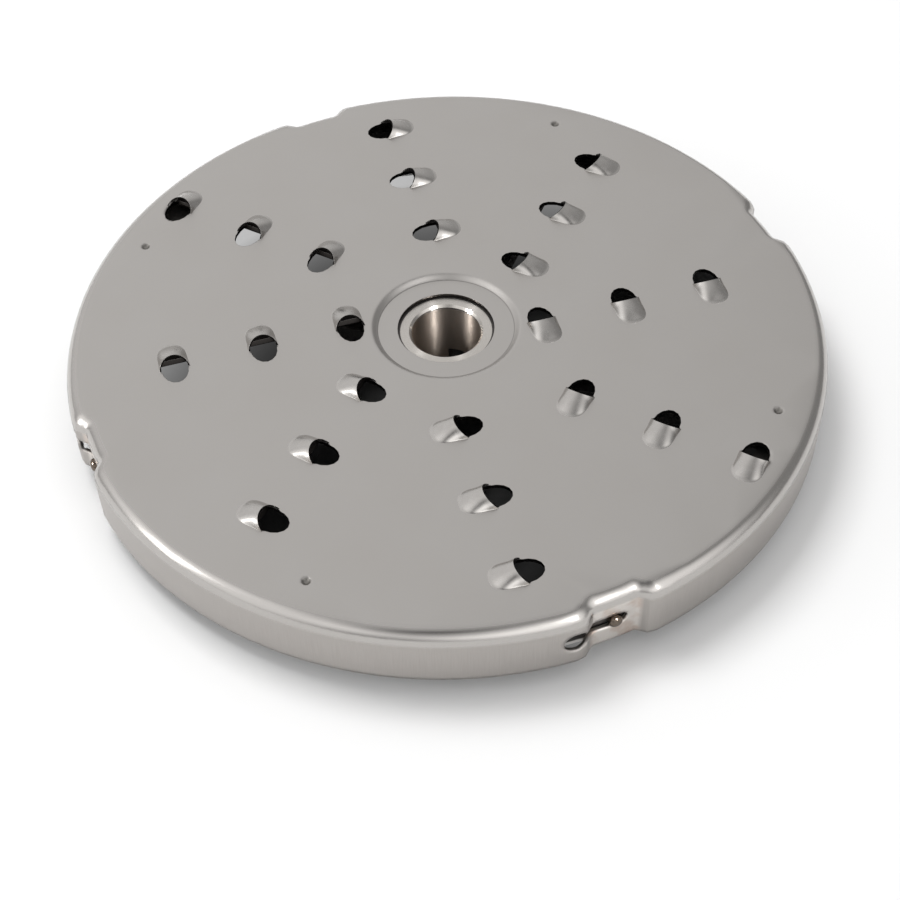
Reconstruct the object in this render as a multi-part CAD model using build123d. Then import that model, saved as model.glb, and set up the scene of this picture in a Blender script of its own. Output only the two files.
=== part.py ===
from build123d import *
import math
import os

# Grating disc for a vegetable-preparation machine, in millimetres.
# The origin is the centre of the hub's lower face, and +Z runs up the drive bore.
# The arms of the carrier lie along X and Y, and the bayonet pins lie halfway between them.

# Grating plate: a cup drawn from stainless sheet, open at the bottom
plate_diameter = 205.0
sheet = 1.2
rim_height = 17.3
rim_clear = 6.7
bend_radius = 4.2

# Pressed dish round the centre of the plate
dish_diameter = 40.2
dish_depth = 1.3
dish_slope = 40.0
plate_hole = 26.3

# Pressed recesses in the rim, one at each pin
pin_count = 4
recess_depth = 2.8
recess_floor = 10.6
recess_shoulder = 4.5
recess_foot = 1.5

# Bayonet slots: a round entry, then a narrow run that closes behind the pin
slot_height = 7.8
slot_width = 4.0
slot_reach = 1.4
entry_diameter = 6.5
entry_offset = 11.1

# Rest dents, pressed into the plate over each arm
dent_inset = 6.5
dent_depth = 0.6
dent_diameter = 2.9
dent_slope = 55.0
dent_sides = 8

# Teeth: straight rows whose starting radius steps outward from row to row
row_count = 8
rows_per_spiral = 4
teeth_per_row = 3
first_row_angle = 38.2
first_tooth_radius = 25.0
tooth_step = 6.03
tooth_offset = 4.85
hood_radius = 4.1
hood_tail = 10.0
hood_rise = 25.0
hollow_start = 4.5
hollow_sides = 16
lip_foot = 1.5
lip_slope = 45.0
lip_edge = 0.35
lip_ear = 0.3
hole_width = 7.1
hole_reach = 3.45
hole_sides = 8

# Carrier: a cast wheel of boss, arms and ring that holds the plate from below
boss_diameter = 36.0
boss_bottom = 8.0
arm_width = 11.0
arm_bottom = 12.0
arm_height = 6.5
arm_edge = 1.5
ring_clearance = 0.3
ring_width = 8.2
ring_bottom = 8.0
ring_top_gap = 3.0
pad_width = 9.0
pad_length = 8.0

# Hub bush: turned and pressed into the boss
bore_diameter = 19.0
bore_chamfer = 0.6
bush_gap = 0.65
bush_sink = 1.1
drive_slot_width = 6.4
drive_slot_depth = 4.8

# Bayonet pins, pressed into the ring
pin_clearance = 0.2
pin_grip = 6.0
pin_past_floor = 1.5

# Sizes that follow from the driving dimensions
plate_radius = plate_diameter / 2
plate_top = rim_clear + rim_height
plate_under = plate_top - sheet
seat_level = plate_under - dish_depth
bush_top = seat_level + sheet - bush_sink
bush_diameter = plate_hole - 2 * bush_gap
slot_level = rim_clear + slot_height
recess_radius = plate_radius - recess_depth
ring_radius = recess_radius - sheet - ring_clearance
ring_inner_radius = ring_radius - ring_width
dent_radius = ring_radius - dent_inset
pin_radius = slot_width / 2 - pin_clearance
pin_angles = [(n + 0.5) * 360 / pin_count for n in range(pin_count)]
arm_angles = [n * 360 / pin_count for n in range(pin_count)]
standing = (Align.CENTER, Align.CENTER, Align.MIN)


def polar(radius, degrees):
    """A point of the XY plane from its radius and angle."""
    return Vector(radius * math.cos(math.radians(degrees)), radius * math.sin(math.radians(degrees)))


def rim_outline():
    """The plate's outline in plan: four lands, and between them the recesses with their sides as short chords."""
    foot_orbit = recess_radius + recess_foot
    shoulder_orbit = plate_radius - recess_shoulder
    reach = recess_foot + recess_shoulder
    cosine = (shoulder_orbit**2 + foot_orbit**2 - reach**2) / (2 * shoulder_orbit * foot_orbit)
    foot_turn = math.degrees(recess_floor / 2 / recess_radius)
    shoulder_turn = foot_turn + math.degrees(math.acos(cosine))
    foot = polar(foot_orbit, foot_turn)
    shoulder = polar(shoulder_orbit, shoulder_turn)
    jog = math.degrees(math.atan2(shoulder.Y - foot.Y, shoulder.X - foot.X))
    foot_angles = [foot_turn + 180, (foot_turn + 180 + jog) / 2, jog]
    shoulder_angles = [(jog - 180 + shoulder_turn) / 2, shoulder_turn]
    side = [foot + polar(recess_foot, angle) for angle in foot_angles]
    side += [shoulder + polar(recess_shoulder, angle) for angle in shoulder_angles]
    edges = []
    for angle in pin_angles:
        edges.append(CenterArc((0, 0), recess_radius, angle - foot_turn, 2 * foot_turn))
        edges.append(CenterArc((0, 0), plate_radius, angle + shoulder_turn, 360 / pin_count - 2 * shoulder_turn))
        for hand in (1, -1):
            chords = Polyline(*[(point.X, hand * point.Y) for point in side])
            edges += (Rot(0, 0, angle) * chords).edges()
    return make_face(Wire(edges))


def drawn_cup():
    """The drawn sheet before it is pierced: a flat top, a bend of three narrow flats and an upright rim."""
    outline = rim_outline()
    outside = Pos(0, 0, rim_clear) * extrude(outline, rim_height)
    slant = bend_radius * (2 - math.sqrt(2))
    outside = chamfer(outside.edges().group_by(Axis.Z)[-1], slant)
    easing = bend_radius * (math.tan(math.radians(22.5)) - math.tan(math.radians(11.25)))
    corners = outside.edges().filter_by_position(Axis.Z, plate_top - 1.01 * slant, plate_top + sheet)
    outside = chamfer(corners.filter_by(lambda edge: abs(edge.tangent_at(0.5).Z) < 0.001), easing)
    inside = extrude(offset(outline, -sheet, kind=Kind.INTERSECTION), rim_height - sheet)
    inside = chamfer(inside.edges().group_by(Axis.Z)[-1], (bend_radius - sheet) * (2 - math.sqrt(2)))
    return outside - Pos(0, 0, rim_clear) * inside


def dish_blank():
    """The ring of sheet that is pressed down round the centre, from the hole to past the slope."""
    run = dish_depth / math.tan(math.radians(dish_slope))
    shift = sheet * math.tan(math.radians(dish_slope / 2))
    slope_top = dish_diameter / 2
    slope_foot = slope_top - run
    edge = slope_top + 2 * sheet
    hole = plate_hole / 2
    low = plate_top - dish_depth
    points = [
        (hole, low),
        (slope_foot, low),
        (slope_top, plate_top),
        (edge, plate_top),
        (edge, plate_under),
        (slope_top + shift, plate_under),
        (slope_foot + shift, low - sheet),
        (hole, low - sheet),
    ]
    section = make_face(Polyline(*points, close=True))
    blank = revolve(Plane.XZ * section, Axis.Z)
    return blank, edge


def before_lip(bar, foot):
    """A bar laid under the crest of the hood, which climbs from the tail, and cut off by the leaning lip."""
    crest = Pos(0, -hood_tail, 0) * Rot(hood_rise - 90, 0, 0)
    ahead = Box(4 * hood_radius, 8 * hood_radius, 8 * hood_radius, align=(Align.CENTER, Align.MIN, Align.CENTER))
    return crest * Pos(0, hood_radius, 0) * bar - Pos(0, -foot, 0) * Rot(lip_slope, 0, 0) * ahead


def tooth_hood():
    """A tooth's hood: a round bar that climbs out of the sheet from its tail to the lip."""
    bar = Pos(0, 0, -2 * sheet) * Cylinder(hood_radius, 2 * hood_tail, align=standing)
    above = Box(4 * hood_radius, 8 * hood_radius, 2 * hood_radius, align=standing)
    return before_lip(bar, lip_foot) & Pos(0, 0, -sheet / 2) * above


def tooth_hollow():
    """The hollow under a hood, which thins the lip to its edge and opens a little ear at each of its feet."""
    core = Pos(0, 0, hollow_start) * extrude(RegularPolygon(hood_radius - lip_edge, hollow_sides), 2 * hood_tail)
    return before_lip(core, lip_foot - lip_ear)


def tooth_hole():
    """The hole ahead of a lip: half of an ellipse, whose straight side lies back under the hood."""
    turns = [math.pi * n / hole_sides for n in range(hole_sides + 1)]
    reach = hole_reach + lip_foot
    round_end = [(hole_width / 2 * math.cos(turn), reach * math.sin(turn) - lip_foot) for turn in turns]
    under = [(-hole_width / 2, -lip_foot - sheet), (hole_width / 2, -lip_foot - sheet)]
    return extrude(make_face(Polyline(*round_end, *under, close=True)), 2 * sheet, both=True)


def tooth_places():
    """Where each tooth's hole is, with X outward along the row and Y the way the tooth cuts."""
    places = []
    for row in range(row_count):
        angle = first_row_angle + row * 360 / row_count
        for place in range(teeth_per_row):
            step = row % rows_per_spiral + place * rows_per_spiral
            radius = first_tooth_radius + step * tooth_step
            places.append(Rot(0, 0, angle) * Pos(radius, -tooth_offset, plate_top))
    return places


def bayonet_slot(angle):
    """The cutter for one keyhole slot, drawn on the face of the rim and pushed through it."""
    face_plane = Plane(
        origin=polar(recess_radius, angle) + Vector(0, 0, slot_level),
        x_dir=polar(1, angle + 90),
        z_dir=polar(1, angle),
    )
    run = entry_offset + slot_reach
    slot = Pos(slot_reach - run / 2, 0) * SlotCenterToCenter(run, slot_width)
    keyhole = slot + Pos(-entry_offset, 0) * Circle(entry_diameter / 2)
    return extrude(face_plane * keyhole, 2 * recess_depth, both=True)


def rest_dent(angle):
    """The centre-punch mark over one arm."""
    mark = extrude(RegularPolygon(dent_diameter / 2, dent_sides), -dent_depth, taper=dent_slope)
    return Rot(0, 0, angle) * Pos(dent_radius, 0, plate_top) * mark


def grating_plate():
    """The grating plate: the drawn cup with its dish, slots, dents and teeth."""
    plate = drawn_cup()
    blank, edge = dish_blank()
    plate -= Pos(0, 0, plate_top) * Cylinder(edge, 4 * sheet)
    plate += blank
    plate -= [bayonet_slot(angle) for angle in pin_angles]
    plate -= [rest_dent(angle) for angle in arm_angles]
    hood = tooth_hood()
    hollow = tooth_hollow()
    hole = tooth_hole()
    places = tooth_places()
    plate += [place * hood for place in places]
    plate -= [place * hollow for place in places]
    plate -= [place * hole for place in places]
    return plate


def washer(outer_diameter, inner_diameter, bottom, top):
    """A plain ring round the Z axis, from one level up to another."""
    height = top - bottom
    outer = Cylinder(outer_diameter / 2, height, align=standing)
    return Pos(0, 0, bottom) * (outer - Cylinder(inner_diameter / 2, height, align=standing))


def carrier():
    """The cast wheel: a boss under the dish, four arms, a ring behind the rim and a pad under each dent."""
    boss = washer(boss_diameter, bush_diameter, boss_bottom, seat_level)
    ring = washer(2 * ring_radius, 2 * ring_inner_radius, ring_bottom, plate_under - ring_top_gap)
    arm_start = (bush_diameter + boss_diameter) / 4
    arm_end = (ring_inner_radius + ring_radius) / 2
    arm = Box(arm_end - arm_start, arm_width, arm_height, align=(Align.MIN, Align.CENTER, Align.MIN))
    arm = chamfer(arm.edges().filter_by(Axis.X).group_by(Axis.Z)[0], arm_edge)
    arm = Pos(arm_start, 0, arm_bottom) * arm
    pad_bottom = arm_bottom + arm_height / 2
    pad = Pos(dent_radius, 0, pad_bottom) * Box(pad_length, pad_width, plate_under - pad_bottom, align=standing)
    wheel = boss + [Rot(0, 0, angle) * arm for angle in arm_angles]
    wheel += ring
    wheel += [Rot(0, 0, angle) * pad for angle in arm_angles]
    wheel -= [pin_body(angle) for angle in pin_angles]
    return wheel


def hub_bush():
    """The turned bush: a sleeve with a chamfered bore, slotted across its foot for the drive."""
    bore = bore_diameter / 2
    outside = bush_diameter / 2
    section = [
        (bore, 0),
        (outside, 0),
        (outside, bush_top),
        (bore + bore_chamfer, bush_top),
        (bore, bush_top - bore_chamfer),
    ]
    bush = revolve(Plane.XZ * make_face(Polyline(*section, close=True)), Axis.Z)
    slot = Box(drive_slot_width, 2 * bush_diameter, 2 * drive_slot_depth)
    return bush - slot


def pin_body(angle):
    """One bayonet pin, lying along its radius."""
    start = ring_radius - pin_grip
    length = recess_radius + pin_past_floor - start
    pin = Rot(0, 90, 0) * Cylinder(pin_radius, length, align=standing)
    return Rot(0, 0, angle) * Pos(start, 0, slot_level) * pin


nodes = {"grating_plate": grating_plate(), "carrier": carrier(), "hub_bush": hub_bush()}
for number, angle in enumerate(pin_angles, start=1):
    nodes[f"bayonet_pin_{number}"] = pin_body(angle)

os.makedirs("parts", exist_ok=True)
for name, solid in nodes.items():
    export_step(solid, f"parts/{name}.step")
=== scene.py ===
# %% [markdown]
# # A grating disc, dressed for a studio photograph
# The disc is a shallow cup of satin stainless sheet with rows of raised teeth. It hangs on a cast
# wheel with a turned hub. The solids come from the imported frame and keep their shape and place, so
# this lesson adds only what the eye needs: smooth normals, fuller hoods, domed pins, metal
# finishes, a floor, light and a camera.

# %% Load the frame
import math

import bpy
from mathutils import Matrix, Vector


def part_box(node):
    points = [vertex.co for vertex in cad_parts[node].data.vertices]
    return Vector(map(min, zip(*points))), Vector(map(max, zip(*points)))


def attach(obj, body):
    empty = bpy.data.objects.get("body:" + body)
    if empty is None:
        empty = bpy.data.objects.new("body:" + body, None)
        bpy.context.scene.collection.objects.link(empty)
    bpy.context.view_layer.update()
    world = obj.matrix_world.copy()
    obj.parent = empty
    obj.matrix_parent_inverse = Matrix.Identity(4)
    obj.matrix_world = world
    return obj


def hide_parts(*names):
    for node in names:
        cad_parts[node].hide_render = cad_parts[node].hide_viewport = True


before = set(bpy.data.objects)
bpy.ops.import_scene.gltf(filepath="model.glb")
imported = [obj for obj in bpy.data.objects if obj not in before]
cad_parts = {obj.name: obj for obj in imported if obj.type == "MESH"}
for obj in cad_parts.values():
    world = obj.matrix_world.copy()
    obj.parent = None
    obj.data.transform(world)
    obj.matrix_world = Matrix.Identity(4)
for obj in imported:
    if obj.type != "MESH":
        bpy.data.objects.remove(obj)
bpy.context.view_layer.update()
plate_low, plate_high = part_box("grating_plate")
MM = 0.001
RIM_HEIGHT = 17.3 * MM
plate_radius = plate_high.x
plate_top = plate_low.z + RIM_HEIGHT
print("nodes:", sorted(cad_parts))
print("plate radius and top, mm:", round(plate_radius / MM, 2), round(plate_top / MM, 2))

# %% [markdown]
# ## Two helpers
# A shader is a graph, and building one in code is mostly repetition. One function adds a node, sets
# its properties, fills or links its inputs, and hands back one output to link from. Inputs go by
# name or by number. Three kinds of node use numbers here: a Map Range takes a value, the range it
# comes from and the range it goes to as inputs 0 to 4; a Mix takes a factor as input 0 and two
# numbers as 2 and 3, or two colours as 6 and 7; a Math node takes its numbers as 0 and 1. The other
# helper turns an sRGB hex colour, as read off a screen, into the linear values of a shader.

# %% Helpers for nodes and colours
def add(tree, kind, inputs=None, out=0, **settings):
    """Adds a node with its settings, values and links; returns one output, or a last node itself."""
    made = tree.nodes.new(kind)
    for name, value in settings.items():
        setattr(made, name, value)
    for name, value in (inputs or {}).items():
        if isinstance(value, bpy.types.NodeSocket):
            tree.links.new(value, made.inputs[name])
        else:
            made.inputs[name].default_value = value
    return made.outputs[out] if made.outputs else made


def linear(hex_colour):
    """The linear RGBA of an sRGB hex colour."""
    levels = [int(hex_colour[i : i + 2], 16) / 255 for i in (1, 3, 5)]
    return [v / 12.92 if v <= 0.04045 else ((v + 0.055) / 1.055) ** 2.4 for v in levels] + [1.0]


print("satin steel in linear values:", [round(v, 3) for v in linear("#B4B0AC")])

# %% [markdown]
# ## Smooth normals across the bends
# The solids arrive as separate faces, so each band of the rim's bend would shade as a flat. A small
# geometry-node modifier welds the faces and marks only the steep edges as sharp. A second modifier
# weighs each normal by the area round it, so that the wide flat stays flat and the narrow bend does
# all the turning. Nothing moves: only the normals change.

# %% Smooth by angle on every metal piece
SHARP_ANGLE = math.radians(24)
WELD = 0.001 * MM


def smoothing_tree():
    """A geometry-node tree that welds split faces and keeps only steep edges sharp."""
    tree = bpy.data.node_groups.new("weld_and_smooth", "GeometryNodeTree")
    tree.interface.new_socket("Geometry", in_out="INPUT", socket_type="NodeSocketGeometry")
    tree.interface.new_socket("Geometry", in_out="OUTPUT", socket_type="NodeSocketGeometry")
    start = add(tree, "NodeGroupInput")
    plain = add(tree, "GeometryNodeRemoveAttribute", {"Geometry": start, "Name": "custom_normal"})
    welded = add(tree, "GeometryNodeMergeByDistance", {"Geometry": plain, "Distance": WELD})
    smooth = add(tree, "GeometryNodeSetShadeSmooth", {"Geometry": welded, "Shade Smooth": True})
    angle = add(tree, "GeometryNodeInputMeshEdgeAngle", out="Unsigned Angle")
    steep = add(tree, "FunctionNodeCompare", {0: angle, 1: SHARP_ANGLE})
    crisp = {"Geometry": smooth, "Selection": steep, "Shade Smooth": False}
    edged = add(tree, "GeometryNodeSetShadeSmooth", crisp, domain="EDGE")
    add(tree, "NodeGroupOutput", {0: edged})
    return tree


smoothing = smoothing_tree()
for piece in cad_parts.values():
    piece.modifiers.new("weld_and_smooth", "NODES").node_group = smoothing
    weighted = piece.modifiers.new("weigh_by_area", "WEIGHTED_NORMAL")
    weighted.keep_sharp = True
    weighted.weight = 100
print("smoothed:", len(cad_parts), "pieces")

# %% [markdown]
# ## Satin stainless sheet
# The plate is cold-rolled stainless steel with a fine satin grain, which gives an even, soft gleam.
# It was drawn and pressed, and the tools left their own finish: the bend was rubbed bright over the
# die, and the rim carries fine upright scuffs from the drawing ring. One metal shader does the
# whole plate, and the hoods get a finish of their own later. It starts from where a point lies on
# the part, because most masks below are a height or a radius.

# %% A blank material, and how a piece gets it
def new_material(name):
    """A material with an empty graph, and its tree."""
    material = bpy.data.materials.new(name)
    material.use_nodes = True
    material.node_tree.nodes.clear()
    return material, material.node_tree


def dress(node, material):
    """Gives a frame piece one material."""
    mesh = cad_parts[node].data
    mesh.materials.clear()
    mesh.materials.append(material)


# %% Where a point lies on the plate
sheet_finish, sheet = new_material("satin_stainless_sheet")
place = add(sheet, "ShaderNodeTexCoord", out="Object")
x, y, z = add(sheet, "ShaderNodeSeparateXYZ", {0: place}).node.outputs
flat = add(sheet, "ShaderNodeCombineXYZ", {0: x, 1: y})
radius = add(sheet, "ShaderNodeVectorMath", {0: flat}, out="Value", operation="LENGTH")
turn = add(sheet, "ShaderNodeMath", {0: y, 1: x}, operation="ARCTAN2")
print("place, radius and turn nodes:", len(sheet.nodes))

# %% [markdown]
# ## Grain, scuffs, smudges and stains
# Four noise patterns make the surface. The grain of a satin sheet is about 0.05 mm and a drawing
# scuff about 0.1 mm wide, both too fine to show at this distance, so they are drawn coarser here.
# Scuffs run up the rim, so their pattern lies in the rim's own unrolled coordinates. Smudges and
# stains have their real size.

# %% Patterns of the sheet
GRAIN = 0.35 * MM
SCUFF_WIDTH = 0.3 * MM
SCUFF_LENGTH = 9 * MM
SMUDGE = 22 * MM
STAIN = 5 * MM

round_rim = {0: turn, 1: plate_radius / SCUFF_WIDTH}
along = add(sheet, "ShaderNodeMath", round_rim, operation="MULTIPLY")
upward = add(sheet, "ShaderNodeMath", {0: z, 1: 1 / SCUFF_LENGTH}, operation="MULTIPLY")
unrolled = add(sheet, "ShaderNodeCombineXYZ", {0: along, 1: upward})
scuff = add(sheet, "ShaderNodeTexNoise", {"Vector": unrolled, "Scale": 1.0, "Detail": 3.0})
grain, smudge, stain = (
    add(sheet, "ShaderNodeTexNoise", {"Vector": place, "Scale": 1 / size, "Detail": detail})
    for size, detail in ((GRAIN, 2.0), (SMUDGE, 4.0), (STAIN, 4.0))
)
print("pattern sizes, mm:", [round(v / MM, 2) for v in (GRAIN, SCUFF_WIDTH, SMUDGE, STAIN)])

# %% [markdown]
# ## Where each finish lies
# Soft masks say which finish is where. Heights and radii give the wall, the bend, and the field
# inside the rim, which holds the dish, the teeth and the four punch marks.

# %% Masks by height and radius
DENT_ORBIT = 91.7 * MM
WALL_STARTS = plate_top - 3.4 * MM

wall_range = {0: z, 1: WALL_STARTS, 2: WALL_STARTS - 1.0 * MM}
on_wall = add(sheet, "ShaderNodeMapRange", wall_range)
outer_range = {0: radius, 1: DENT_ORBIT + 2 * MM, 2: DENT_ORBIT + 3 * MM}
outside = add(sheet, "ShaderNodeMapRange", outer_range)
inner_range = {0: radius, 1: DENT_ORBIT + 5 * MM, 2: DENT_ORBIT + 4 * MM}
inside = add(sheet, "ShaderNodeMapRange", inner_range)
below_range = {0: z, 1: plate_top - 0.02 * MM, 2: plate_top - 0.3 * MM}
below = add(sheet, "ShaderNodeMapRange", below_range)
on_bend = add(sheet, "ShaderNodeMath", {0: outside, 1: below}, operation="MULTIPLY")
print("wall starts at, mm:", round(WALL_STARTS / MM, 1))

# %% [markdown]
# The way a face looks gives two more. The walls of the holes and of the hollows under the hoods
# stand steep, and they are painted dark as shade. A lip looks the way its tooth cuts,
# counter-clockwise round the axis, and it rises over the plate: behind it is the mouth of the hood,
# where no light gets in, and its face is painted near black as shade.

# %% Masks by the way a face looks
UPRIGHT = 0.5
FORWARD = 0.4

facing = add(sheet, "ShaderNodeNewGeometry", out="True Normal")
tilt = add(sheet, "ShaderNodeSeparateXYZ", {0: facing}, out=2)
tilt = add(sheet, "ShaderNodeMath", {0: tilt}, operation="ABSOLUTE")
steep = add(sheet, "ShaderNodeMath", {0: tilt, 1: UPRIGHT}, operation="LESS_THAN")
sunk = add(sheet, "ShaderNodeMapRange", {0: z, 1: plate_top + 0.05 * MM, 2: plate_top})
sheared_shade = add(sheet, "ShaderNodeMath", {0: steep, 1: inside}, operation="MULTIPLY")
sheared_shade = add(sheet, "ShaderNodeMath", {0: sheared_shade, 1: sunk}, operation="MULTIPLY")
cutting = add(sheet, "ShaderNodeVectorMath", {0: (0, 0, 1), 1: flat}, operation="CROSS_PRODUCT")
cutting = add(sheet, "ShaderNodeVectorMath", {0: cutting}, operation="NORMALIZE")
forward = {0: facing, 1: cutting}
forward = add(sheet, "ShaderNodeVectorMath", forward, out="Value", operation="DOT_PRODUCT")
forward = add(sheet, "ShaderNodeMath", {0: forward, 1: FORWARD}, operation="GREATER_THAN")
above = {0: z, 1: plate_top + 0.02 * MM, 2: plate_top + 0.06 * MM}
above = add(sheet, "ShaderNodeMapRange", above)
mouth_shade = add(sheet, "ShaderNodeMath", {0: above, 1: forward}, operation="MULTIPLY")
print("steeper than, degrees:", round(math.degrees(math.acos(UPRIGHT))))

# %% [markdown]
# ## How rough, and what tint
# Steel is nearly neutral, a touch warm. The rim is matter and greyer than the top, and its recesses
# are rubbed pale and stained brown where the pins slide. A thin line of painted shade marks the
# pressed crease of the dish, and the punch marks are painted darker as shade.

# %% Roughness of the sheet
TOP_ROUGH = 0.34, 0.42
WALL_ROUGH = 0.32, 0.44
BEND_ROUGH = 0.2
MOUTH_ROUGH = 0.7

top_rough = {0: grain, 3: TOP_ROUGH[0], 4: TOP_ROUGH[1]}
top_rough = add(sheet, "ShaderNodeMapRange", top_rough)
wall_rough = {0: scuff, 1: 0.3, 2: 0.7, 3: WALL_ROUGH[0], 4: WALL_ROUGH[1]}
wall_rough = add(sheet, "ShaderNodeMapRange", wall_rough)
rough = add(sheet, "ShaderNodeMix", {0: on_bend, 2: top_rough, 3: BEND_ROUGH})
rough = add(sheet, "ShaderNodeMix", {0: on_wall, 2: rough, 3: wall_rough})
rough = add(sheet, "ShaderNodeMix", {0: mouth_shade, 2: rough, 3: MOUTH_ROUGH})
print("bend and mouth roughness:", BEND_ROUGH, MOUTH_ROUGH)

# %% Tints of the top and the rim
RECESS_FLOOR = 99.7 * MM
RUB_STARTS, RUB_ENDS = RECESS_FLOOR + 1.2 * MM, RECESS_FLOOR + 0.4 * MM
STAIN_MOST = 0.7
COLOURS = dict(data_type="RGBA", out=2)

top_tint = {0: smudge, 6: linear("#B8B5B2"), 7: linear("#B4B0AC")}
top_tint = add(sheet, "ShaderNodeMix", top_tint, **COLOURS)
scuffed = add(sheet, "ShaderNodeMapRange", {0: scuff, 1: 0.25, 2: 0.75})
wall_tint = {0: scuffed, 6: linear("#A7A29E"), 7: linear("#B2AEAA")}
wall_tint = add(sheet, "ShaderNodeMix", wall_tint, **COLOURS)
recess = add(sheet, "ShaderNodeMapRange", {0: radius, 1: RUB_STARTS, 2: RUB_ENDS})
rubbed = add(sheet, "ShaderNodeMix", {0: recess, 6: wall_tint, 7: linear("#D2CDC8")}, **COLOURS)
stained = add(sheet, "ShaderNodeMapRange", {0: stain, 1: 0.46, 2: 0.66, 4: STAIN_MOST})
stained = add(sheet, "ShaderNodeMath", {0: stained, 1: recess}, operation="MULTIPLY")
wall_tint = {0: stained, 6: rubbed, 7: linear("#B8A496")}
wall_tint = add(sheet, "ShaderNodeMix", wall_tint, **COLOURS)
tint = add(sheet, "ShaderNodeMix", {0: on_wall, 6: top_tint, 7: wall_tint}, **COLOURS)
print("rubbed inside radius, mm:", round(RUB_STARTS / MM, 1))

# %% Painted shade: the crease, the punch marks, the sheared walls and the mouths
DISH_FOOT = 18.55 * MM
CREASE, CREASE_FADE, CREASE_SHADE_MOST = 0.13 * MM, 0.03 * MM, 0.45
DENT_REACH, DENT_CORE = 2.0 * MM, 1.5 * MM

# A thin ring of painted shade along the crease at the foot of the dish.
crease_shade = add(sheet, "ShaderNodeMath", {0: radius, 1: DISH_FOOT}, operation="SUBTRACT")
crease_shade = add(sheet, "ShaderNodeMath", {0: crease_shade}, operation="ABSOLUTE")
crease_shade = {0: crease_shade, 1: CREASE - CREASE_FADE, 2: CREASE + CREASE_FADE, 3: CREASE_SHADE_MOST, 4: 0.0}
crease_shade = add(sheet, "ShaderNodeMapRange", crease_shade)
tint = add(sheet, "ShaderNodeMix", {0: crease_shade, 6: tint, 7: linear("#55524F")}, **COLOURS)
from_dents = add(sheet, "ShaderNodeMath", {0: radius, 1: DENT_ORBIT}, operation="SUBTRACT")
from_dents = add(sheet, "ShaderNodeMath", {0: from_dents}, operation="ABSOLUTE")
# The punch marks are painted darker as shade.
dent_shade = add(sheet, "ShaderNodeMapRange", {0: from_dents, 1: DENT_REACH, 2: DENT_CORE})
dent_shade = add(sheet, "ShaderNodeMath", {0: dent_shade, 1: below}, operation="MULTIPLY")
tint = add(sheet, "ShaderNodeMix", {0: dent_shade, 6: tint, 7: linear("#85827E")}, **COLOURS)
# The steep walls of the holes and hollows are painted dark as shade.
tint = add(sheet, "ShaderNodeMix", {0: sheared_shade, 6: tint, 7: linear("#3C3937")}, **COLOURS)
# The face of each lip is painted near black as the shade in the mouth of its hood.
tint = add(sheet, "ShaderNodeMix", {0: mouth_shade, 6: tint, 7: linear("#1C1A19")}, **COLOURS)
print("crease at radius, mm:", round(DISH_FOOT / MM, 2))

# %% [markdown]
# ## Rounded edges
# Pressed edges are not knife-sharp, because the sheet flows round them. A Bevel node rounds the
# shading there. Its radius differs from place to place: wide along the outer edge of the dish and
# over the bend, small in the punch marks, and narrow along the sheared edges of the holes.

# %% The sheet's rounding, and its shader
DISH_ROLL = 1.2 * MM
ROLL_ENDS, ROLL_FADES = 21.1 * MM, 21.7 * MM
BEND_ROLL = 1.5 * MM
DENT_ROLL = 0.8 * MM
SHEARED_EDGE = 0.2 * MM
RELIEF = 0.006 * MM

dish_in = {0: radius, 1: DISH_FOOT, 2: DISH_FOOT + 0.08 * MM, 4: DISH_ROLL}
dish_in = add(sheet, "ShaderNodeMapRange", dish_in)
dish_out = {0: radius, 1: ROLL_ENDS, 2: ROLL_FADES, 3: DISH_ROLL, 4: 0.0}
dish_out = add(sheet, "ShaderNodeMapRange", dish_out)
dish = add(sheet, "ShaderNodeMath", {0: dish_in, 1: dish_out}, operation="MINIMUM")
dents = {0: from_dents, 1: DENT_CORE, 2: DENT_REACH, 3: DENT_ROLL, 4: 0.0}
dents = add(sheet, "ShaderNodeMapRange", dents)
bend = add(sheet, "ShaderNodeMath", {0: outside, 1: BEND_ROLL}, operation="MULTIPLY")
fillet = add(sheet, "ShaderNodeMath", {0: dish, 1: SHEARED_EDGE}, operation="MAXIMUM")
fillet = add(sheet, "ShaderNodeMath", {0: fillet, 1: dents}, operation="MAXIMUM")
fillet = add(sheet, "ShaderNodeMath", {0: fillet, 1: bend}, operation="MAXIMUM")
rounded = add(sheet, "ShaderNodeBevel", {"Radius": fillet}, samples=8)
relief = add(sheet, "ShaderNodeMix", {0: on_wall, 2: grain, 3: scuff})
relief = {"Height": relief, "Distance": RELIEF, "Strength": 0.4, "Normal": rounded}
relief = add(sheet, "ShaderNodeBump", relief)
steel = {"Base Color": tint, "Metallic": 1.0, "Roughness": rough, "Normal": relief}
steel = add(sheet, "ShaderNodeBsdfPrincipled", steel)
add(sheet, "ShaderNodeOutputMaterial", {"Surface": steel})
dress("grating_plate", sheet_finish)
print("plate dressed, nodes:", len(sheet.nodes))

# %% [markdown]
# ## Full, rounded hoods
# The solids carry each tooth as a straight round bar that climbs out of the sheet. The pressed ones
# are fuller: an arch that keeps its width and ends in a round tail, with a foot that flows into the
# plate. A height over the plate describes that well, so each hood gets a thin skin, worked out
# point by point, which lies over its solid, ends in the same leaning lip and dips into the plate
# all round.

# %% The height of a hood
HOOD_TALL = 2.7
HOOD_HALF_WIDTH = 3.88
HOOD_LENGTH = 6.25
TAIL_POWER = 3.8
CREST_FALL = 0.13
LIP_RISE = 0.36
FOOT_FLOW = 0.35
BURIED = 0.004
arch_radius = (HOOD_HALF_WIDTH**2 + HOOD_TALL**2) / (2 * HOOD_TALL)
arch_depth = arch_radius - HOOD_TALL


def tail_spread(back):
    """How much of the arch the tail has used up, at a distance in mm behind the top of the lip."""
    return (max(0.0, back) / HOOD_LENGTH) ** TAIL_POWER * HOOD_HALF_WIDTH**2


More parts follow.
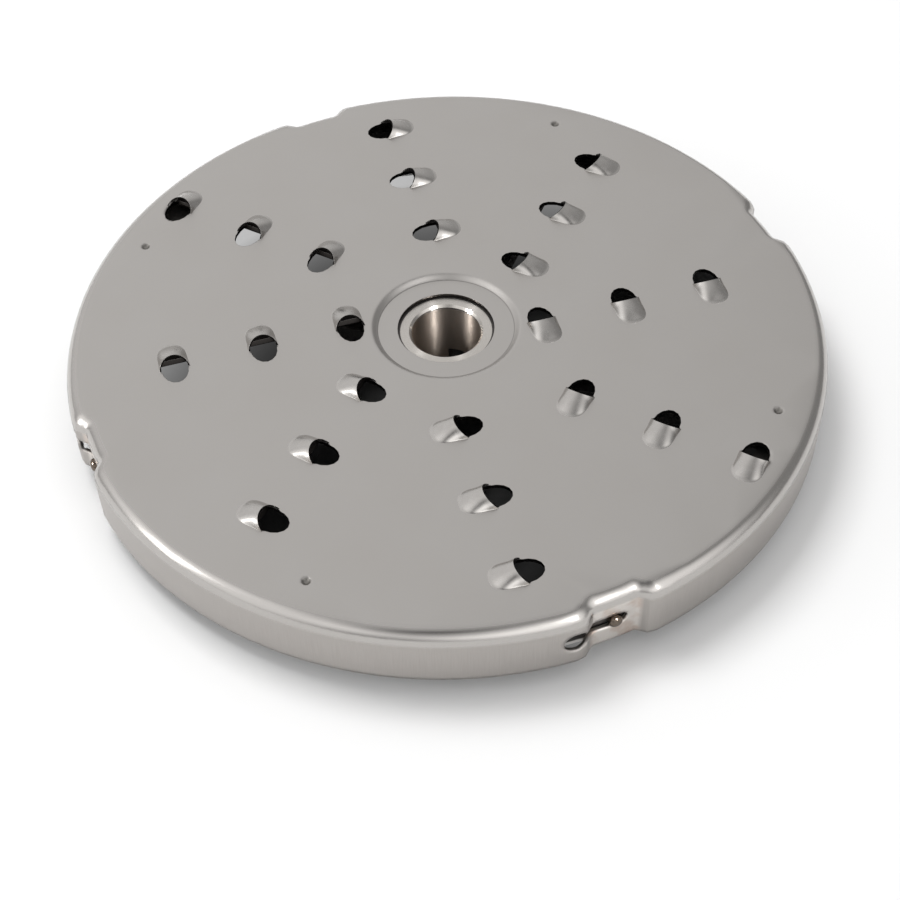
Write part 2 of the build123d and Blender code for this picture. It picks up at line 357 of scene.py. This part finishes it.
def hood_height(across, back):
    """The height of a hood's skin over the plate, in mm, with the foot drawn out to a fillet."""
    left = max(0.0, arch_radius**2 - across**2 - tail_spread(back))
    height = math.sqrt(left) - arch_depth
    height = height * (1 - CREST_FALL * back) if back > 0 else height - LIP_RISE * back
    if height > FOOT_FLOW:
        return height
    share = max(0.0, height + FOOT_FLOW) / (2 * FOOT_FLOW)
    return FOOT_FLOW * share**2 - BURIED * (1 - share)


print("arch radius, mm:", round(arch_radius, 2), "height 3 mm back:", round(hood_height(0, 3), 2))

# %% The outline of a hood
def halve(low, high, holds):
    """The place between low and high up to which a test holds, found by halving."""
    for _ in range(40):
        middle = (low + high) / 2
        low, high = (middle, high) if holds(middle) else (low, middle)
    return low


def half_width(back):
    """Half the width of a hood with its foot, in mm, at a distance behind the top of the lip."""
    sunk = FOOT_FLOW / (1 - CREST_FALL * max(0.0, back)) - LIP_RISE * min(0.0, back)
    reach = arch_radius**2 - max(0.0, arch_depth - sunk) ** 2
    return math.sqrt(max(0.0, reach - tail_spread(back)))


def across_at(share, back):
    """A place across the hood, where a share of -1 or 1 is its edge; steep sides get more points."""
    return half_width(back) * math.sin(math.pi / 2 * share)


def lip_at(share):
    """How far in front of its top the skin meets the lip, a plane that leans back at 45 degrees."""
    return halve(
        -HOOD_TALL, 0.0, lambda back: hood_height(across_at(share, back), back) > HOOD_TALL + back
    )


tail_tip = halve(0.0, 1.2 * HOOD_LENGTH, lambda back: half_width(back) > 0)
print("tail ends behind the lip, mm:", round(tail_tip, 2))

# %% [markdown]
# A hood's points run in rows from the tip of the tail to the lip, closer together at the tail where
# the skin is steep. A last row turns in under the lip.

# %% The points of a hood
SKIN_COLUMNS, SKIN_ROWS = 33, 28
LIP_FOOT = 1.5
CREST_END = LIP_FOOT + HOOD_TALL
TUCK, TUCK_LEAST = 0.05, 0.02
TUCK_NARROW, TUCK_FORWARD = 0.97, 0.3


def hood_points():
    """One hood's points in mm, x across the tooth and y the way it cuts."""
    shares = [2 * n / (SKIN_COLUMNS - 1) - 1 for n in range(SKIN_COLUMNS)]
    lips = [lip_at(share) for share in shares]
    points = [Vector((0, -CREST_END - tail_tip, -BURIED))]
    for row in range(1, SKIN_ROWS + 1):
        part = math.cos(math.pi / 2 * row / SKIN_ROWS)
        for share, lip in zip(shares, lips):
            back = lip + (tail_tip - lip) * part
            across = across_at(share, back)
            points.append(Vector((across, -CREST_END - back, hood_height(across, back))))
    for edge in points[-SKIN_COLUMNS:]:
        tuck = TUCK_LEAST + min(TUCK, max(0.0, edge.z) / 3)
        place = edge.x * TUCK_NARROW, edge.y + TUCK_FORWARD * tuck, edge.z - tuck
        points.append(Vector(place))
    return points


skin = hood_points()
print("points in a hood:", len(skin), "highest, mm:", round(max(p.z for p in skin), 3))

# %% The faces of a hood
def hood_faces():
    """One hood's faces: a fan at the tip of the tail, then rows of quads up to the tuck."""
    faces = [(0, n + 2, n + 1) for n in range(SKIN_COLUMNS - 1)]
    for row in range(SKIN_ROWS):
        for column in range(SKIN_COLUMNS - 1):
            a = 1 + row * SKIN_COLUMNS + column
            faces.append((a, a + 1, a + 1 + SKIN_COLUMNS, a + SKIN_COLUMNS))
    return faces


def on_lip(number):
    """Whether a point of the whole mesh lies on the lip of its hood."""
    start = 1 + (SKIN_ROWS - 1) * SKIN_COLUMNS
    return start <= number % len(skin) < start + SKIN_COLUMNS


print("faces in a hood:", len(hood_faces()))

# %% [markdown]
# ## Burnished hoods
# The punch stretched the sheet over the hoods and rubbed it, so they are smoother than the plate and
# mirror the room in soft streaks. The rubbed patches are taken as about a millimetre wide.

# %% Finish of the hoods
BURNISH = 1.2 * MM
BURNISH_RELIEF = 0.02 * MM
BURNISH_ROUGH = 0.23, 0.28


def burnished_sheet():
    """Stainless sheet rubbed by a punch: smoother than the plate, with brighter streaks."""
    material, tree = new_material("burnished_stainless_sheet")
    place = add(tree, "ShaderNodeTexCoord", out="Object")
    rubbed = add(tree, "ShaderNodeTexNoise", {"Vector": place, "Scale": 1 / BURNISH, "Detail": 3.0})
    colour = {0: rubbed, 6: linear("#B3AFAB"), 7: linear("#BEBBB8")}
    colour = add(tree, "ShaderNodeMix", colour, **COLOURS)
    rough = {0: rubbed, 1: 0.3, 2: 0.7, 3: BURNISH_ROUGH[0], 4: BURNISH_ROUGH[1]}
    rough = add(tree, "ShaderNodeMapRange", rough)
    bump = {"Height": rubbed, "Distance": BURNISH_RELIEF, "Strength": 0.08}
    bump = add(tree, "ShaderNodeBump", bump)
    metal = {"Base Color": colour, "Metallic": 1.0, "Roughness": rough, "Normal": bump}
    metal = add(tree, "ShaderNodeBsdfPrincipled", metal)
    add(tree, "ShaderNodeOutputMaterial", {"Surface": metal})
    return material


hood_finish = burnished_sheet()
print("hood finish:", hood_finish.name)

# %% [markdown]
# The teeth stand in eight rows of three. Rows lie an eighth of a turn apart, and each starts one
# step further out than the last, so that the holes of four rows together sweep the whole plate.

# %% Where the teeth stand
TOOTH_ROWS, ROWS_PER_SPIRAL, TEETH_PER_ROW = 8, 4, 3
FIRST_ROW_ANGLE = math.radians(38.2)
FIRST_TOOTH, TOOTH_STEP, TOOTH_OFFSET = 25.0, 6.03, 4.85


def tooth_places():
    """Where each tooth stands, as a matrix from the tooth's millimetres to the part's metres."""
    places = []
    for row in range(TOOTH_ROWS):
        spin = Matrix.Rotation(FIRST_ROW_ANGLE + row * 2 * math.pi / TOOTH_ROWS, 4, "Z")
        for place in range(TEETH_PER_ROW):
            step = row % ROWS_PER_SPIRAL + place * ROWS_PER_SPIRAL
            out = FIRST_TOOTH + step * TOOTH_STEP
            shift = Matrix.Translation((out, -TOOTH_OFFSET, plate_top / MM))
            places.append(Matrix.Scale(MM, 4) @ spin @ shift)
    return places


print("teeth:", len(tooth_places()))

# %% All the hoods
def mesh_piece(name, points, faces, material):
    """A mesh with one material, as an object in the scene."""
    mesh = bpy.data.meshes.new(name)
    mesh.from_pydata(points, [], faces)
    mesh.materials.append(material)
    piece = bpy.data.objects.new(name, mesh)
    bpy.context.scene.collection.objects.link(piece)
    return piece


def tooth_hoods():
    """One piece with the skins of all the hoods, crisp only along their lips."""
    points, faces = [], []
    for place in tooth_places():
        first = len(points)
        points += [place @ point for point in skin]
        faces += [tuple(first + n for n in face) for face in hood_faces()]
    hoods = mesh_piece("tooth_hoods", points, faces, hood_finish)
    hoods.data.shade_smooth()
    for edge in hoods.data.edges:
        edge.use_edge_sharp = on_lip(edge.vertices[0]) and on_lip(edge.vertices[1])
    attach(hoods, "root")
    return hoods


print("faces of the hoods:", len(tooth_hoods().data.polygons))

# %% [markdown]
# ## Cast aluminium
# The hidden wheel is sand-cast aluminium. Sand leaves a skin that is dull and pebbled; the real
# pebble is about 0.4 mm and is drawn coarser to show. Its colour is darker than that skin: partly
# the dull skin, partly painted shade for a wheel that sits in the dark under the plate. The foot of
# its ring was turned bright in a lathe, and shows as a pale strip low in each keyhole.

# %% Carrier
CAST_PEBBLE = 0.8 * MM
PEBBLE_RELIEF = 0.08 * MM
CAST_ROUGH, LAND_ROUGH = 0.55, 0.3
LAND_TOP = 9.2 * MM


def cast_metal():
    """Dull pebbled cast aluminium, partly painted dark as shade, with a bright turned land low on the
    ring.
    """
    material, tree = new_material("cast_aluminium")
    place = add(tree, "ShaderNodeTexCoord", out="Object")
    z = add(tree, "ShaderNodeSeparateXYZ", {0: place}, out=2)
    pebble = {"Vector": place, "Scale": 1 / CAST_PEBBLE, "Detail": 4.0}
    pebble = add(tree, "ShaderNodeTexNoise", pebble)
    on_land = add(tree, "ShaderNodeMapRange", {0: z, 1: LAND_TOP, 2: LAND_TOP - 0.2 * MM})
    # The dark cast colours are partly the dull sand skin and partly painted shade.
    cast = {0: pebble, 6: linear("#545150"), 7: linear("#706D6A")}
    cast = add(tree, "ShaderNodeMix", cast, **COLOURS)
    colour = add(tree, "ShaderNodeMix", {0: on_land, 6: cast, 7: linear("#D6D4D1")}, **COLOURS)
    rough = add(tree, "ShaderNodeMix", {0: on_land, 2: CAST_ROUGH, 3: LAND_ROUGH})
    bump = {"Height": pebble, "Distance": PEBBLE_RELIEF, "Strength": 0.6}
    bump = add(tree, "ShaderNodeBump", bump)
    metal = {"Base Color": colour, "Metallic": 1.0, "Roughness": rough, "Normal": bump}
    metal = add(tree, "ShaderNodeBsdfPrincipled", metal)
    add(tree, "ShaderNodeOutputMaterial", {"Surface": metal})
    return material


dress("carrier", cast_metal())
print("land of the ring ends at, mm:", round(LAND_TOP / MM, 1))

# %% [markdown]
# ## Turned stainless steel
# The hub bush was turned in a lathe. The tool leaves rings about 0.1 mm apart, drawn coarser here,
# and small chatter marks round them. Rings smear each highlight across their own direction, which
# is along the bore, and an anisotropic shader does the same when its tangent runs round the axis
# and is turned by a quarter. Deep in the bore the colour is painted dark as shade, with a brown tint.

# %% Marks of the lathe
TURNING_PITCH = 0.25 * MM
CHATTER = 1.5 * MM
BORE_REACH = 9.9 * MM
hub_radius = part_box("hub_bush")[1].x
hub_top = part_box("hub_bush")[1].z


def lathe_marks(tree):
    """The broken rings that a lathe leaves, and a mask that is 1 deep in the bore."""
    place = add(tree, "ShaderNodeTexCoord", out="Object")
    x, y, z = add(tree, "ShaderNodeSeparateXYZ", {0: place}).node.outputs
    flat = add(tree, "ShaderNodeCombineXYZ", {0: x, 1: y})
    radius = add(tree, "ShaderNodeVectorMath", {0: flat}, out="Value", operation="LENGTH")
    turn = add(tree, "ShaderNodeMath", {0: y, 1: x}, operation="ARCTAN2")
    along = add(tree, "ShaderNodeMath", {0: turn, 1: hub_radius / CHATTER}, operation="MULTIPLY")
    path = add(tree, "ShaderNodeMath", {0: z, 1: radius}, operation="SUBTRACT")
    path = add(tree, "ShaderNodeMath", {0: path, 1: 1 / TURNING_PITCH}, operation="MULTIPLY")
    marks = add(tree, "ShaderNodeCombineXYZ", {0: along, 1: path})
    rings = add(tree, "ShaderNodeTexNoise", {"Vector": marks, "Scale": 1.0, "Detail": 2.0})
    within = add(tree, "ShaderNodeMath", {0: radius, 1: BORE_REACH}, operation="LESS_THAN")
    deep = {0: z, 1: hub_top - 0.5 * MM, 2: hub_top - 1.5 * MM}
    deep = add(tree, "ShaderNodeMapRange", deep)
    in_bore = add(tree, "ShaderNodeMath", {0: within, 1: deep}, operation="MULTIPLY")
    return rings, in_bore


print("hub radius and top, mm:", round(hub_radius / MM, 2), round(hub_top / MM, 2))

# %% Hub bush
TURNED_ROUGH = 0.24
BORE_ROUGH = 0.3, 0.46
ALONG_BORE = 0.25


def turned_metal():
    """Turned stainless steel: bright on top; in the bore painted dark as shade, with long highlights.
    """
    material, tree = new_material("turned_stainless")
    rings, in_bore = lathe_marks(tree)
    bright = {0: rings, 6: linear("#B9B4AE"), 7: linear("#C9C5C0")}
    bright = add(tree, "ShaderNodeMix", bright, **COLOURS)
    # Deep in the bore the colour is painted dark as shade, with a brown tint.
    colour = add(tree, "ShaderNodeMix", {0: in_bore, 6: bright, 7: linear("#91877E")}, **COLOURS)
    grooved = {0: rings, 1: 0.3, 2: 0.7, 3: BORE_ROUGH[0], 4: BORE_ROUGH[1]}
    grooved = add(tree, "ShaderNodeMapRange", grooved)
    metal = {
        "Base Color": colour,
        "Metallic": 1.0,
        "Roughness": add(tree, "ShaderNodeMix", {0: in_bore, 2: TURNED_ROUGH, 3: grooved}),
        "Anisotropic": 0.95,
        "Anisotropic Rotation": ALONG_BORE,
        "Tangent": add(tree, "ShaderNodeTangent", direction_type="RADIAL", axis="Z"),
    }
    metal = add(tree, "ShaderNodeBsdfPrincipled", metal)
    add(tree, "ShaderNodeOutputMaterial", {"Surface": metal})
    return material


dress("hub_bush", turned_metal())
print("roughness of the bore:", BORE_ROUGH)

# %% [markdown]
# ## Domed pins of ground steel
# The solids carry plain round pins. The real ones end in a dome, which shows as one bright glint in
# a dark ring. Grinding leaves steel smooth; here its colour is painted dark as shade, with a brown
# tint, since each pin sits down in its slot. A dome is a turned shape, so each pin is spun from its
# profile, in the place and the size of its solid, and stands for it in the picture.

# %% Finish of the pins
GROUND_ROUGH = 0.1, 0.2


def ground_metal():
    """Ground steel, painted dark as shade with a brown tint, with one sharp glint."""
    material, tree = new_material("ground_steel")
    place = add(tree, "ShaderNodeTexCoord", out="Object")
    lines = add(tree, "ShaderNodeTexNoise", {"Vector": place, "Scale": 1 / GRAIN, "Detail": 2.0})
    # The pin's colour is painted dark as shade, with a brown tint.
    colour = {0: lines, 6: linear("#5A5048"), 7: linear("#786D63")}
    colour = add(tree, "ShaderNodeMix", colour, **COLOURS)
    rough = {0: lines, 3: GROUND_ROUGH[0], 4: GROUND_ROUGH[1]}
    rough = add(tree, "ShaderNodeMapRange", rough)
    metal = {"Base Color": colour, "Metallic": 1.0, "Roughness": rough}
    metal = add(tree, "ShaderNodeBsdfPrincipled", metal)
    add(tree, "ShaderNodeOutputMaterial", {"Surface": metal})
    return material


pin_finish = ground_metal()
print("pin finish:", pin_finish.name)

# %% The profile of a pin
PIN_SIDES = 32
DOME_STEPS = 8
DOME_HEIGHT = 1.1 * MM


def spun(profile, middle, along):
    """The points and faces of a profile of distances and widths, spun round a level axis."""
    sideways = Vector((-along.y, along.x, 0))
    points = []
    for distance, width in profile:
        for n in range(PIN_SIDES):
            angle = 2 * math.pi * n / PIN_SIDES
            spoke = sideways * math.cos(angle) + Vector((0, 0, math.sin(angle)))
            points.append(middle + along * distance + spoke * width)
    faces = [tuple(reversed(range(PIN_SIDES)))]
    for ring in range(len(profile) - 1):
        for n in range(PIN_SIDES):
            a = ring * PIN_SIDES + n
            b = ring * PIN_SIDES + (n + 1) % PIN_SIDES
            faces.append((a, b, b + PIN_SIDES, a + PIN_SIDES))
    return points, faces


print("points round a pin:", PIN_SIDES)

# %% Pins
def domed_pin(node):
    """A pin with a domed nose, spun round the axis of the solid that it stands for."""
    low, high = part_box(node)
    middle = (low + high) / 2
    radius = (high.z - low.z) / 2
    along = Vector((middle.x, middle.y, 0)).normalized()
    reach = (high.x - low.x - 2 * radius * abs(along.y)) / abs(along.x)
    turns = [math.pi / 2 * n / DOME_STEPS for n in range(DOME_STEPS)]
    dome = [
        (reach / 2 - DOME_HEIGHT * (1 - math.sin(turn)), radius * math.cos(turn)) for turn in turns
    ]
    points, faces = spun([(-reach / 2, radius)] + dome, middle, along)
    tip = len(points)
    last = tip - PIN_SIDES
    points.append(middle + along * (reach / 2))
    faces += [(last + n, last + (n + 1) % PIN_SIDES, tip) for n in range(PIN_SIDES)]
    pin = mesh_piece(node.replace("bayonet", "domed"), points, faces, pin_finish)
    pin.data.shade_smooth()
    pin.data.polygons[0].use_smooth = False
    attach(pin, "root")
    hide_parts(node)
    return pin


pin_nodes = [name for name in sorted(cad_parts) if name.startswith("bayonet_pin")]
pins = [domed_pin(name) for name in pin_nodes]
print("domed pins:", [pin.name for pin in pins])

# %% [markdown]
# ## A white table
# The disc stands on a seamless white sheet, which is matt and catches the shadow. Hardly any light
# reaches the paper under the disc, so it is painted dark there as shade. Only along the far left
# side a glow is painted on the paper under the rim, as the light that creeps in there, and the
# holes there look down on a paler floor. That painted glow is seen by the camera alone.

# %% Directions as the camera has them
VIEW_TURN = math.radians(22.5)


def seen_from_camera(right, away, up):
    """A point given as the camera's right, away and up, turned into the part's frame."""
    return Vector(
        (
            right * math.cos(VIEW_TURN) - away * math.sin(VIEW_TURN),
            right * math.sin(VIEW_TURN) + away * math.cos(VIEW_TURN),
            up,
        )
    )


def aim(azimuth, elevation, distance):
    """A place round the disc: azimuth from straight away towards the right, elevation, metres."""
    turn = math.radians(azimuth)
    rise = math.radians(elevation)
    level = distance * math.cos(rise)
    return seen_from_camera(level * math.sin(turn), level * math.cos(turn), distance * math.sin(rise))


print("straight away from the camera:", [round(v, 3) for v in aim(0, 0, 1)])

# %% Paper
UNDER_DISC = 92 * MM
CREEP_GLOW = 0.5
CREEP_REACH = 88 * MM
CREEP_POWER = 4.5
CREEP_SIDE = -32
SIDE_STARTS, SIDE_FULL = 0.1, 0.95


def white_paper():
    """Matt white paper, painted dark as shade under the disc, with a painted glow under the rim."""
    material, tree = new_material("white_paper")
    place = add(tree, "ShaderNodeTexCoord", out="Object")
    camera_ray = add(tree, "ShaderNodeLightPath", out="Is Camera Ray")
    radius = add(tree, "ShaderNodeVectorMath", {0: place}, out="Value", operation="LENGTH")
    outward = add(tree, "ShaderNodeVectorMath", {0: place}, operation="NORMALIZE")
    side = {0: outward, 1: aim(CREEP_SIDE, 0, 1)}
    side = add(tree, "ShaderNodeVectorMath", side, out="Value", operation="DOT_PRODUCT")
    side = add(tree, "ShaderNodeMapRange", {0: side, 1: SIDE_STARTS, 2: SIDE_FULL, 4: CREEP_GLOW})
    near_rim = add(tree, "ShaderNodeMapRange", {0: radius, 2: CREEP_REACH})
    near_rim = add(tree, "ShaderNodeMath", {0: near_rim, 1: CREEP_POWER}, operation="POWER")
    under = add(tree, "ShaderNodeMath", {0: radius, 1: UNDER_DISC}, operation="LESS_THAN")
    # A painted glow, for camera rays alone, stands in for light creeping under the far left rim.
    glow = add(tree, "ShaderNodeMath", {0: near_rim, 1: side}, operation="MULTIPLY")
    glow = add(tree, "ShaderNodeMath", {0: glow, 1: under}, operation="MULTIPLY")
    glow = add(tree, "ShaderNodeMath", {0: glow, 1: camera_ray}, operation="MULTIPLY")
    # Under the disc the paper is painted dark as shade.
    colour = {0: under, 6: linear("#EEEEEE"), 7: linear("#5A5A5A")}
    colour = add(tree, "ShaderNodeMix", colour, **COLOURS)
    paper = {
        "Base Color": colour,
        "Roughness": 1.0,
        "Specular IOR Level": 0.0,
        "Emission Color": linear("#FFFFFF"),
        "Emission Strength": glow,
    }
    paper = add(tree, "ShaderNodeBsdfPrincipled", paper)
    add(tree, "ShaderNodeOutputMaterial", {"Surface": paper})
    return material


paper_finish = white_paper()
print("paper finish:", paper_finish.name)

# %% Floor
HALF_FLOOR = 2.0

corners = [(x * HALF_FLOOR, y * HALF_FLOOR, 0) for x, y in ((-1, -1), (1, -1), (1, 1), (-1, 1))]
floor = mesh_piece("table", corners, [(0, 1, 2, 3)], paper_finish)
print("floor span, m:", 2 * HALF_FLOOR)

# %% [markdown]
# ## Light
# A large lamp behind the disc and to its left lights the paper and throws the shadow to the front
# and right. It is hidden from the metal, which would mirror it as a blot. What the metal mirrors is
# the room and two softboxes, one at the left and one beside the camera. Two narrow strips light
# only the hub and the pins, where they draw the long highlights of the bore and a sharp glint.

# %% A lamp
def softbox(name, place, width, height, radiance):
    """A rectangular lamp turned to the disc, its strength given as the brightness of its face."""
    lamp = bpy.data.lights.new(name, "AREA")
    lamp.shape = "RECTANGLE"
    lamp.size = width
    lamp.size_y = height
    lamp.energy = radiance * math.pi * width * height
    stand = bpy.data.objects.new(name, lamp)
    stand.location = place
    stand.rotation_euler = (-place).to_track_quat("-Z", "Y").to_euler()
    bpy.context.scene.collection.objects.link(stand)
    return stand


print("watts for a square metre at brightness 1:", round(math.pi, 2))

# %% The lamps of the studio
# Each lamp's place, its width and height in metres, and the brightness of its face.
LAMPS = {
    "key_lamp": (aim(-55, 66, 1.2), 0.55, 0.55, 8.2),
    "left_softbox": (aim(-105, 22, 1.0), 0.22, 0.5, 3.0),
    "camera_softbox": (aim(144, 32, 1.0), 0.2, 0.4, 2.5),
    "left_strip": (aim(-104, 31, 1.0), 0.08, 0.5, 150),
    "right_strip": (aim(144, 34, 1.0), 0.08, 0.5, 150),
}

lamps = {name: softbox(name, *setting) for name, setting in LAMPS.items()}
lamps["key_lamp"].visible_glossy = False
strip_lit = bpy.data.collections.new("lit_by_the_strips")
for piece in (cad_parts["hub_bush"], *pins):
    strip_lit.objects.link(piece)
for name in ("left_strip", "right_strip"):
    lamps[name].light_linking.receiver_collection = strip_lit
print("lamps:", list(lamps))

# %% [markdown]
# ## The room
# The camera sees white. The metal sees a grey room with soft panels, each written as a direction,
# the angle over which it fades out, and its brightness. The camera itself is the one dark patch.
# Everything else gets an even fill.

# %% What the metal mirrors
ROOM_GREY = 0.34
PANELS = {
    "backdrop": (-30, 40, 70, 0.6),
    "left_screen": (-118, 30, 50, 0.9),
    "right_screen": (140, 28, 52, 1.15),
    "camera_side": (180, 34, 40, 0.45),
    "camera": (180, 52, 25, -0.65),
}

world = bpy.data.worlds.new("grey_room")
world.use_nodes = True
room = world.node_tree
room.nodes.clear()
direction = add(room, "ShaderNodeTexCoord", out="Generated")
level = ROOM_GREY
for azimuth, elevation, fade, brightness in PANELS.values():
    toward = {0: direction, 1: aim(azimuth, elevation, 1)}
    toward = add(room, "ShaderNodeVectorMath", toward, out="Value", operation="DOT_PRODUCT")
    patch = {0: toward, 1: math.cos(math.radians(fade)), 2: 1.0, 4: brightness}
    patch = add(room, "ShaderNodeMapRange", patch, interpolation_type="SMOOTHSTEP")
    level = add(room, "ShaderNodeMath", {0: patch, 1: level}, operation="ADD")
print("panels:", list(PANELS))

# %% World
FILL = 0.72

white = linear("#FFFFFF")
rays = add(room, "ShaderNodeLightPath").node.outputs
mirrored = add(room, "ShaderNodeBackground", {"Color": white, "Strength": level})
even = add(room, "ShaderNodeBackground", {"Color": white, "Strength": FILL})
backdrop = add(room, "ShaderNodeBackground", {"Color": white, "Strength": 1.0})
shiny = {0: rays["Is Glossy Ray"], 1: rays["Is Transmission Ray"]}
shiny = add(room, "ShaderNodeMath", shiny, operation="MAXIMUM")
lit = add(room, "ShaderNodeMixShader", {0: shiny, 1: even, 2: mirrored})
shown = add(room, "ShaderNodeMixShader", {0: rays["Is Camera Ray"], 1: lit, 2: backdrop})
add(room, "ShaderNodeOutputWorld", {"Surface": shown})
bpy.context.scene.world = world
bpy.context.scene.view_settings.view_transform = "Standard"
print("fill:", FILL)

# %% [markdown]
# ## Camera
# The camera was placed by fitting the rim, the holes and the hub of the solid to the photograph. It
# looks down at about 49 degrees from the side where one pin faces the lens, with a slight roll.

# %% Camera
ELEVATION = math.radians(49.126)
ROLL = math.radians(1.789)
FOCAL_PX = 1664.31
FRAME_PX = 900
SENSOR_MM = 36
PLATE_IN_VIEW = Vector((-1.0999, -34.0829, 450.5798)) * MM

right = seen_from_camera(1, 0, 0)
away = seen_from_camera(0, 1, 0)
up = Vector((0, 0, 1))
ahead = away * math.cos(ELEVATION) - up * math.sin(ELEVATION)
down = -away * math.sin(ELEVATION) - up * math.cos(ELEVATION)
image_x = right * math.cos(ROLL) + down * math.sin(ROLL)
image_y = down * math.cos(ROLL) - right * math.sin(ROLL)
centre = Vector((0, 0, plate_top)) - image_x * PLATE_IN_VIEW.x
centre -= image_y * PLATE_IN_VIEW.y + ahead * PLATE_IN_VIEW.z
axes = Matrix((image_x, -image_y, -ahead)).transposed()

lens = bpy.data.cameras.new("studio_camera")
lens.sensor_width = SENSOR_MM
lens.lens = SENSOR_MM * FOCAL_PX / FRAME_PX
lens.clip_start = 0.01
camera = bpy.data.objects.new("studio_camera", lens)
camera.matrix_world = Matrix.Translation(centre) @ axes.to_4x4()
bpy.context.scene.collection.objects.link(camera)
bpy.context.scene.camera = camera
print("camera at, mm:", [round(v / MM, 1) for v in centre], "lens, mm:", round(lens.lens, 2))
